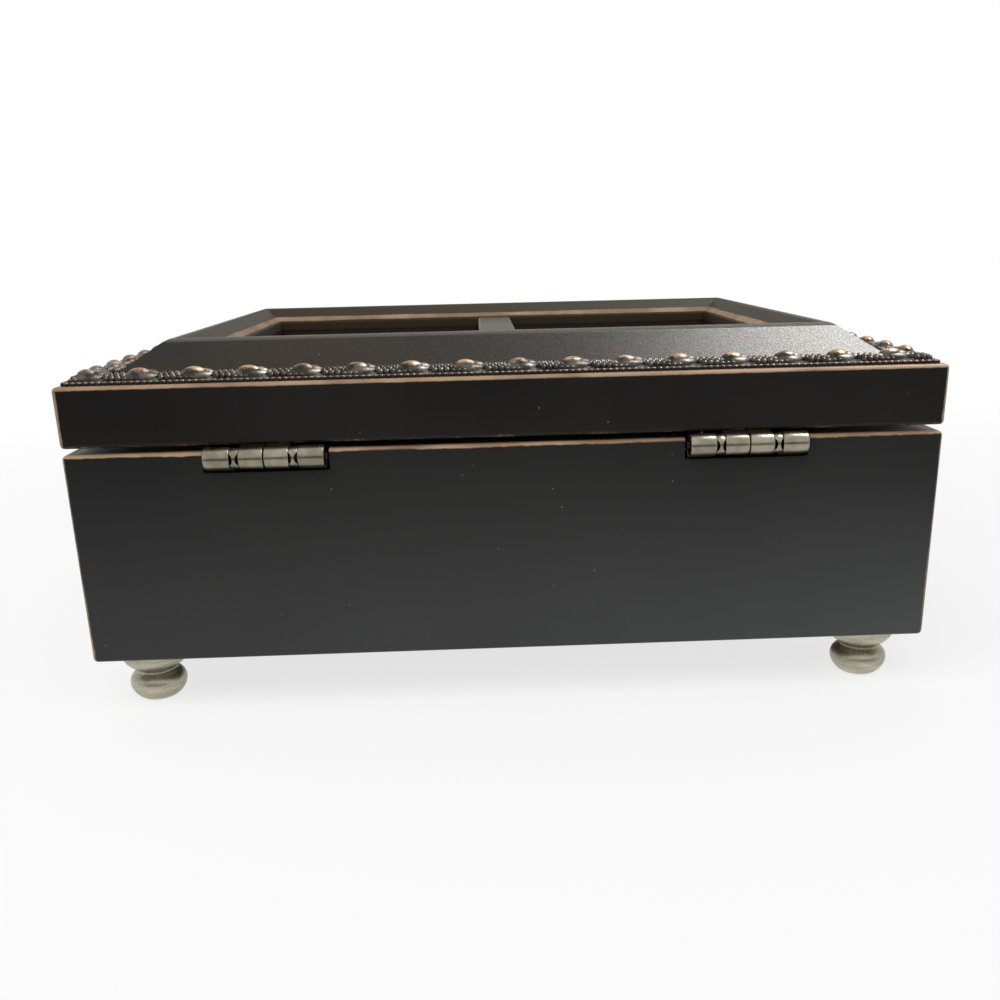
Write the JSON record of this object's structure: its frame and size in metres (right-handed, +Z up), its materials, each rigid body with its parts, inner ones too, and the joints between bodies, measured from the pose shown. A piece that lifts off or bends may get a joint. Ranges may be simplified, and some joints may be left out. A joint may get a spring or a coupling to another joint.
{
  "type": "music box",
  "caption": "Footed keepsake music box: rebated wooden case, stop-hinged picture-frame lid with rope-and-oval trim, and a wind-up cylinder movement inside.",
  "frame": {"origin": "on the table, under the middle of the closed box's bounding box, hinge barrels included", "axes": "+X along the hinge line, +Y towards the hinged back, +Z up; the front faces -Y"},
  "size_m": [0.24, 0.194, 0.1042],
  "materials": {
    "rubbed_black_paint": "satin near-black paint on wood, rubbed through to copper along the edges",
    "rubbed_trim": "moulded trim in dark pewter, copper rubbed on its high spots",
    "champagne_paint": "turned wood in satin champagne metallic paint",
    "bare_board": "thin fibre board, stained brown",
    "lining_cloth": "short black velvet on board",
    "cushion_cloth": "short black velvet over foam",
    "felt": "black felt pad",
    "nickel": "satin nickel plate",
    "bright_steel": "bright plated steel",
    "comb_steel": "hardened steel, ground",
    "cast_bed": "zinc-plated casting",
    "brass": "brass",
    "moulded_gear": "ivory moulded plastic",
    "glass": "clear picture glass",
    "card": "plain dark card"
  },
  "bodies": {
    "case": {"front_wall": "rubbed_black_paint", "back_wall": "rubbed_black_paint", "left_wall": "rubbed_black_paint", "right_wall": "rubbed_black_paint", "bottom_panel": "bare_board", "foot_front_left": "champagne_paint", "foot_front_right": "champagne_paint", "foot_back_left": "champagne_paint", "foot_back_right": "champagne_paint", "foot_studs": "bright_steel", "lid_bumpers": "felt", "wall_lining": "lining_cloth", "floor_lining": "lining_cloth", "long_divider": "lining_cloth", "movement_divider": "lining_cloth", "tray_divider": "lining_cloth", "ring_rolls": "cushion_cloth", "movement_cover": "lining_cloth", "bedplate": "cast_bed", "comb": "comb_steel", "comb_screws": "bright_steel", "bearing_posts": "brass", "spring_drum": "cast_bed", "mainspring": "comb_steel", "governor_frame": "brass", "movement_screws": "bright_steel", "hinge_left_lower_leaf": "nickel", "hinge_right_lower_leaf": "nickel", "hinge_left_pin": "bright_steel", "hinge_right_pin": "bright_steel", "lower_leaf_screws": "bright_steel"},
    "lid": {"lid_front_rail": "rubbed_black_paint", "lid_back_rail": "rubbed_black_paint", "lid_left_rail": "rubbed_black_paint", "lid_right_rail": "rubbed_black_paint", "mullion": "rubbed_black_paint", "trim_front": "rubbed_trim", "trim_back": "rubbed_trim", "trim_left": "rubbed_trim", "trim_right": "rubbed_trim", "glass_panes": "glass", "picture_cards": "card", "backing_board": "bare_board", "button_pivots": "bright_steel", "hinge_left_upper_leaf": "nickel", "hinge_right_upper_leaf": "nickel", "upper_leaf_screws": "bright_steel"},
    "turn_button_left": {"turn_button_left": "brass"},
    "turn_button_right": {"turn_button_right": "brass"},
    "cylinder": {"note_cylinder": "brass", "cylinder_arbor": "brass", "cylinder_gear": "brass"},
    "great_wheel": {"great_wheel": "moulded_gear"},
    "governor": {"governor_wheel": "moulded_gear"},
    "worm": {"worm": "moulded_gear", "air_brake": "moulded_gear"},
    "winding": {"winding_arbor": "bright_steel", "winding_key": "brass"},
    "stop_wire": {"stop_wire": "bright_steel"}
  },
  "joints": [
    {"name": "lid_hinge", "type": "hinge", "parent": "case", "child": "lid", "pos_m": [0, 0.09398, 0.07435], "axis": [-1, 0, 0], "range_deg": [0, 95]},
    {"name": "button_left_turn", "type": "hinge", "parent": "lid", "child": "turn_button_left", "pos_m": [-0.0935, -0.00202, 0.0892], "axis": [0, 0, 1], "range_deg": [0, 90]},
    {"name": "button_right_turn", "type": "hinge", "parent": "lid", "child": "turn_button_right", "pos_m": [0.0935, -0.00202, 0.0892], "axis": [0, 0, 1], "range_deg": [0, 90]},
    {"name": "key_turn", "type": "hinge", "parent": "case", "child": "winding", "pos_m": [-0.0885, 0.05647, 0.02], "axis": [0, 0, 1], "continuous": true},
    {"name": "cylinder_turn", "type": "hinge", "parent": "case", "child": "cylinder", "pos_m": [-0.0755, 0.05647, 0.04045], "axis": [1, 0, 0], "continuous": true},
    {"name": "great_wheel_turn", "type": "hinge", "parent": "case", "child": "great_wheel", "pos_m": [-0.0885, 0.05647, 0.035], "axis": [0, 0, 1], "continuous": true},
    {"name": "governor_turn", "type": "hinge", "parent": "case", "child": "governor", "pos_m": [-0.0555, 0.06648, 0.04045], "axis": [1, 0, 0], "continuous": true},
    {"name": "worm_turn", "type": "hinge", "parent": "case", "child": "worm", "pos_m": [-0.05125, 0.07297, 0.04045], "axis": [0, 0, 1], "continuous": true},
    {"name": "stop_wire_slide", "type": "slide", "parent": "case", "child": "stop_wire", "axis": [0, 0, 1], "range_m": [0, 0.004]}
  ],
  "couplings": [
    {"joint": "great_wheel_turn", "follows": "cylinder_turn", "ratio": 0.4375},
    {"joint": "governor_turn", "follows": "cylinder_turn", "ratio": -4},
    {"joint": "worm_turn", "follows": "cylinder_turn", "ratio": 80},
    {"joint": "stop_wire_slide", "follows": "lid_hinge", "m_per_rad": 0.0024}
  ]
}
